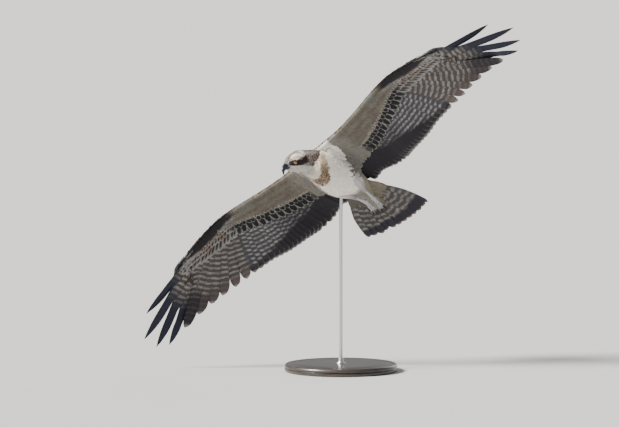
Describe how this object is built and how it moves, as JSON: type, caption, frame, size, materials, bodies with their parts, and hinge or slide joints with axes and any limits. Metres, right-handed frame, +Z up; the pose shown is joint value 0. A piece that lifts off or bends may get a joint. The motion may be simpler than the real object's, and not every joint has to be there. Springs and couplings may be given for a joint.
{
  "type": "osprey",
  "caption": "Life-size still model of an osprey in banking flight, wings spread and primaries fingered, head turned down to its right, held by a plain round base and one upright rod.",
  "frame": {"origin": "centre of the stand base's underside", "axes": "+Z up; +X from the low right wing's tip towards the raised left wing's tip, as seen from the front; the camera side, which the underside of the wings faces, is -Y"},
  "size_m": [1.1228, 0.5676, 1.0676],
  "materials": {
    "plumage_pale": "soft matt feathers",
    "plumage_wing": "matt barred feathers",
    "plumage_hand": "matt dark feathers",
    "plumage_tail": "matt barred feathers",
    "bill_horn": "smooth dark horn",
    "eye_ball": "wet gloss",
    "leg_skin": "fine pale grey scales",
    "claw_horn": "smooth black horn",
    "stand_wood": "black satin lacquer",
    "stand_metal": "satin steel"
  },
  "bodies": {
    "root": {"trunk": "plumage_pale", "neck": "plumage_pale", "head": "plumage_pale", "bill_upper": "bill_horn", "bill_lower": "bill_horn", "eye_left": "eye_ball", "eye_right": "eye_ball", "wing_left_arm": "plumage_wing", "wing_left_hand": "plumage_hand", "thigh_left": "plumage_pale", "shank_left": "leg_skin", "foot_left": "leg_skin", "claw_left_1": "claw_horn", "claw_left_2": "claw_horn", "claw_left_3": "claw_horn", "claw_left_4": "claw_horn", "wing_right_arm": "plumage_wing", "wing_right_hand": "plumage_hand", "thigh_right": "plumage_pale", "shank_right": "leg_skin", "foot_right": "leg_skin", "claw_right_1": "claw_horn", "claw_right_2": "claw_horn", "claw_right_3": "claw_horn", "claw_right_4": "claw_horn", "tail": "plumage_tail", "stand_base": "stand_wood", "stand_rod": "stand_metal"}
  },
  "joints": []
}
